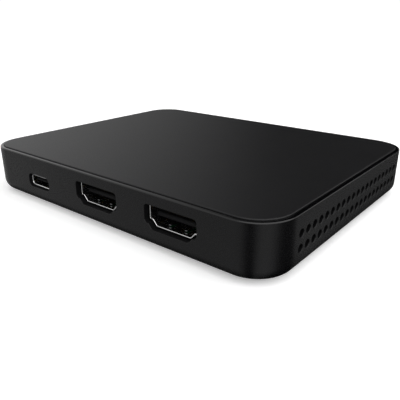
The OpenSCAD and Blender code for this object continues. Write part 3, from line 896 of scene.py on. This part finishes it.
# %% Finishes of the inner pieces
finishes = {
    "black_screw_steel": grained(
        "blackened_steel", ("#232325", "#2e2e31"), (0.35, 0.5), 0.3, 0.001, Metallic=1.0,
    ),
    "screw_steel": grained(
        "zinc_plated_steel", ("#b4b7ba", "#c6c9cc"), (0.25, 0.4), 0.3, 0.001, Metallic=1.0,
    ),
    "socket_plastic": grained(
        "black_glass_filled_nylon", ("#080809", "#0c0c0d"), (0.55, 0.68), 0.2, 0.003,
        **{"Specular IOR Level": 0.15},
    ),
    "contact_gold": grained("gold_flash", ("#d8b25a", "#e4c476"), (0.2, 0.3), 0.15, 0.0005, Metallic=1.0),
    "chip_resin": grained("moulded_epoxy", ("#1b1c1e", "#242528"), (0.5, 0.65), 0.12, 0.003),
    "thermal_silicone": grained("soft_silicone", ("#8496a6", "#97a9b8"), (0.55, 0.7), 0.4, 0.006, IOR=1.43),
    "sink_aluminium": grained(
        "extruded_aluminium", ("#8d9094", "#a2a5a9"), (0.3, 0.45), 0.25, 0.001, (1, 0.05, 1), Metallic=1.0,
    ),
    "spacer_brass": grained(
        "turned_brass", ("#b2934c", "#c8a960"), (0.25, 0.35), 0.2, 0.001, (1, 1, 4), Metallic=1.0,
    ),
    "can_metal": grained(
        "drawn_aluminium_can", ("#b8bbbe", "#cccfd1"), (0.25, 0.38), 0.3, 0.001, Metallic=1.0,
    ),
    "ferrite": grained("pressed_ferrite", ("#3c3d40", "#4c4d50"), (0.5, 0.65), 0.2, 0.004),
    "capacitor_ceramic": grained("fired_ceramic", ("#97795a", "#b3956f"), (0.35, 0.5), 0.2, 0.002, IOR=1.7),
    "led_resin": grained("clear_epoxy", ("#e6e2cf", "#f2efe2"), (0.1, 0.2), 0.3, 0.0005, IOR=1.54),
}


TRACK_CELL = 7
TRACK_SCALE = 2
TRACK_RELIEF = 0.02
WEAVE = 0.4


def masked_board():
    """Green solder mask over copper lines half a millimetre apart, with the laminate's weave between."""
    material, tree, place = new_finish("solder_mask_on_laminate")
    bends = add(tree, "TexVoronoi", {"Vector": place, "Scale": per_metre(TRACK_CELL)}, distance="MANHATTAN")
    turned = add(tree, "VectorMath", {
        0: place, 1: bends.outputs["Color"],
    }, operation="MULTIPLY").outputs["Vector"]
    lines = add(tree, "TexWave", {
        "Vector": turned, "Scale": per_metre(TRACK_SCALE), "Distortion": 0.0,
    }).outputs["Fac"]
    copper = add(tree, "MapRange", {"Value": lines, "From Min": 0.45, "From Max": 0.55}).outputs["Result"]
    tone = add(tree, "Mix", {
        FACTOR: copper, COLOUR_A: linear("#12351f"), COLOUR_B: linear("#1d4f2f"),
    }, data_type="RGBA").outputs[COLOUR_OUT]
    weave = add(tree, "TexNoise", {"Vector": place, "Scale": per_metre(WEAVE)}).outputs["Fac"]
    gloss = add(tree, "MapRange", {"Value": weave, "To Min": 0.25, "To Max": 0.45}).outputs["Result"]
    bump = add(tree, "Bump", {"Height": copper, "Distance": TRACK_RELIEF * MM}).outputs["Normal"]
    close(tree, {"Base Color": tone, "Roughness": gloss, "Normal": bump})
    return material


finishes["board_laminate"] = masked_board()
kept = 0
for row in frame["record"]["subparts"]:
    if row["material_slot"] in finishes:
        skin = nodes[row["node"]].data.materials
        skin.clear()
        skin.append(finishes[row["material_slot"]])
        kept += 1
print("CAD nodes with a new finish:", kept)

# %% [markdown]
# The studio
#
# The box stands on a plain white sweep, in a white room, under one very broad lamp in front of it on the
# right. The white of the background is the room's own white: the camera and mirrored rays see it at full
# strength, while less of it falls on the box as light. The floor keeps part of its shading, so that the
# shadow stays.

# %% Set up floor and world
WHITE = [1, 1, 1, 1]
SWEEP_SIZE = 6
PAPER_FIBRE = 3
PAPER_GLOW = 0.32
ROOM_GLOW = 0.33
ROOM_WHITE = 1.04


def seen_directly(tree):
    """1 for rays of the camera and for mirrored and refracted rays, 0 for light that falls on things."""
    path = add(tree, "LightPath").outputs
    mirrored = add(tree, "Math", {
        0: path["Is Glossy Ray"], 1: path["Is Transmission Ray"],
    }, operation="MAXIMUM").outputs[0]
    return add(tree, "Math", {0: path["Is Camera Ray"], 1: mirrored}, operation="MAXIMUM").outputs[0]


bpy.ops.object.select_all(action="DESELECT")
bpy.ops.mesh.primitive_plane_add(size=SWEEP_SIZE)
floor = named("floor")
floor_paper, tree, place = new_finish("white_paper")
fibre = add(tree, "TexNoise", {"Vector": place, "Scale": per_metre(PAPER_FIBRE)}).outputs["Fac"]
paper = add(tree, "Mix", {
    FACTOR: fibre, COLOUR_A: linear("#f6f6f6"), COLOUR_B: linear("#fafafa"),
}, data_type="RGBA").outputs[COLOUR_OUT]
shaded = add(tree, "BsdfDiffuse", {"Color": paper}).outputs["BSDF"]
share = add(tree, "Math", {0: seen_directly(tree), 1: PAPER_GLOW}, operation="MULTIPLY").outputs[0]
lift = add(tree, "Emission", {"Color": WHITE, "Strength": share}).outputs["Emission"]
add(tree, "OutputMaterial", {"Surface": add(tree, "AddShader", {0: shaded, 1: lift}).outputs["Shader"]})
floor.data.materials.append(floor_paper)

world = bpy.data.worlds.new("room")
bpy.context.scene.world = world
world.use_nodes = True
tree = world.node_tree
tree.nodes.clear()
glow = add(tree, "Background", {"Color": WHITE, "Strength": ROOM_GLOW}).outputs["Background"]
wall = add(tree, "Background", {"Color": WHITE, "Strength": ROOM_WHITE}).outputs["Background"]
room = add(tree, "MixShader", {0: seen_directly(tree), 1: glow, 2: wall}).outputs["Shader"]
add(tree, "OutputWorld", {"Surface": room})
print("floor and room are white")

# %% Set up the lamp
LAMP_FROM = Vector((0.60, -0.20, 0.80))
LAMP_WIDTH = 110
LAMP_LEVEL = 2.8
lamp_data = bpy.data.lights.new("overhead_light", "SUN")
lamp_data.angle = math.radians(LAMP_WIDTH)
lamp_data.energy = LAMP_LEVEL
lamp = bpy.data.objects.new("overhead_light", lamp_data)
lamp.location = LAMP_FROM
lamp.rotation_euler = LAMP_FROM.to_track_quat("Z", "Y").to_euler()
bpy.context.scene.collection.objects.link(lamp)
print("lamp stands", round(math.degrees(LAMP_FROM.angle(Vector((0, 0, 1)))), 1), "degrees from overhead")

# %% [markdown]
# What the plastic mirrors
#
# Black plastic shows mostly what it mirrors, so photographers hang dark and pale cloths round it. A flag
# behind the box fades from clear on the left to black on the right, and the top fades with it. A mat on the
# table has pale and dark sectors, which the walls mirror as soft bands, broadest at the rounded corners.
# Close round the box's outline the mat darkens to a tenth. This is a painted shadow, which the lower walls
# mirror in place of the box's own shadow on the table. Both are seen only by mirrored rays, so they cast no
# shadow and stay out of the picture.

# %% Hang a flag behind the box


def for_mirrors_only(cloth, name):
    """Names a stage cloth that only mirrored rays see, and starts its material."""
    cloth.name = cloth.data.name = name
    cloth.visible_camera = False
    cloth.visible_diffuse = False
    cloth.visible_shadow = False
    cloth.visible_transmission = False
    material, tree, place = new_finish(name + "_cloth")
    cloth.data.materials.append(material)
    return tree, place


FLAG_BACK = 0.40
FLAG_SIZE = (1.6, 0.9)
FLAG_CLEAR = -0.29
FLAG_DARK = 0.08
away = Vector((CAMERA_AIM.x - CAMERA_AT.x, CAMERA_AIM.y - CAMERA_AT.y, 0)).normalized()
bpy.ops.object.select_all(action="DESELECT")
bpy.ops.mesh.primitive_plane_add(size=1)
flag = bpy.context.object
flag.scale = (FLAG_SIZE[0], FLAG_SIZE[1], 1)
bpy.ops.object.transform_apply()
flag.matrix_world = Matrix((
    (away.y, 0, -away.x, away.x * FLAG_BACK),
    (-away.x, 0, -away.y, away.y * FLAG_BACK),
    (0, 1, 0, FLAG_SIZE[1] / 2),
    (0, 0, 0, 1),
))
tree, place = for_mirrors_only(flag, "flag")
across = add(tree, "SeparateXYZ", {"Vector": place}).outputs["X"]
cover_up = add(tree, "MapRange", {
    "Value": across, "From Min": FLAG_CLEAR, "From Max": FLAG_DARK,
}).outputs["Result"]
clear = add(tree, "BsdfTransparent").outputs["BSDF"]
dark = add(tree, "Emission", {"Color": linear("#0a0a0a"), "Strength": 1.0}).outputs["Emission"]
add(tree, "OutputMaterial", {
    "Surface": add(tree, "MixShader", {0: cover_up, 1: clear, 2: dark}).outputs["Shader"],
})
print("flag", FLAG_BACK, "m behind the box")

# %% Lay a mat on the table
MAT_SIZE = 0.5
MAT_MIDDLE = (0.0444, -0.0363, 0.0002)
SHADE_FROM = -0.5
SHADE_TO = 3.8
SHADE_DEEP = 0.1
MAT_TONES = (
    (-180, 0.40), (-127, 0.50), (-105, 0.57), (-95, 0.50), (-84, 0.20), (-76, 0.0), (-64, 0.0), (-56, 0.30),
    (-44, 0.72), (-20, 0.72), (-8, 0.50), (4, 0.15), (14, 0.0), (36, 0.0), (46, 0.06), (60, 0.22), (82, 0.10),
    (90, 0.0), (96, 0.0), (106, 0.18), (156, 0.22), (166, 0.0), (171, 0.0), (176, 0.10), (180, 0.40),
)
bpy.ops.object.select_all(action="DESELECT")
bpy.ops.mesh.primitive_plane_add(size=MAT_SIZE, location=MAT_MIDDLE)
mat = bpy.context.object
tree, place = for_mirrors_only(mat, "mat")
turn = add(tree, "TexGradient", {"Vector": place}, gradient_type="RADIAL").outputs["Fac"]
shades = add(tree, "ValToRGB", {"Fac": turn})
stops = shades.color_ramp.elements
while len(stops) < len(MAT_TONES):
    stops.new(0.5)
for stop, (angle, tone) in zip(stops, MAT_TONES):
    stop.position = angle / 360 + 0.5
    stop.color = (tone, tone, tone, 1)
from_box = add(tree, "VectorMath", {0: place, 1: MAT_MIDDLE}, operation="ADD").outputs["Vector"]
folded = add(tree, "VectorMath", {0: from_box}, operation="ABSOLUTE").outputs["Vector"]
core = (case_high - Vector((CORNER, CORNER, 0))) * MM
beyond = add(tree, "VectorMath", {0: folded, 1: core}, operation="SUBTRACT").outputs["Vector"]
outside = add(tree, "VectorMath", {0: beyond, 1: (0, 0, 0)}, operation="MAXIMUM").outputs["Vector"]
reach = add(tree, "VectorMath", {0: outside}, operation="LENGTH").outputs["Value"]
# Painted shadow: the mat's tones fall to a tenth near the box's outline, for the box's shadow as the walls
# mirror it.
painted_shadow_fade = add(tree, "MapRange", {
    "Value": reach, "From Min": (CORNER + SHADE_FROM) * MM, "From Max": (CORNER + SHADE_TO) * MM,
    "To Min": SHADE_DEEP, "To Max": 1.0,
}).outputs["Result"]
seen = add(tree, "Emission", {"Color": shades.outputs["Color"], "Strength": painted_shadow_fade}).outputs["Emission"]
add(tree, "OutputMaterial", {"Surface": seen})
print("mat with", len(stops), "tones")

# %% [markdown]
# Tones
#
# The Standard view shows each colour as it was set, which suits a product on white.

# %% Set the picture's tones
bpy.context.scene.view_settings.view_transform = "Standard"
print("view:", bpy.context.scene.view_settings.view_transform)
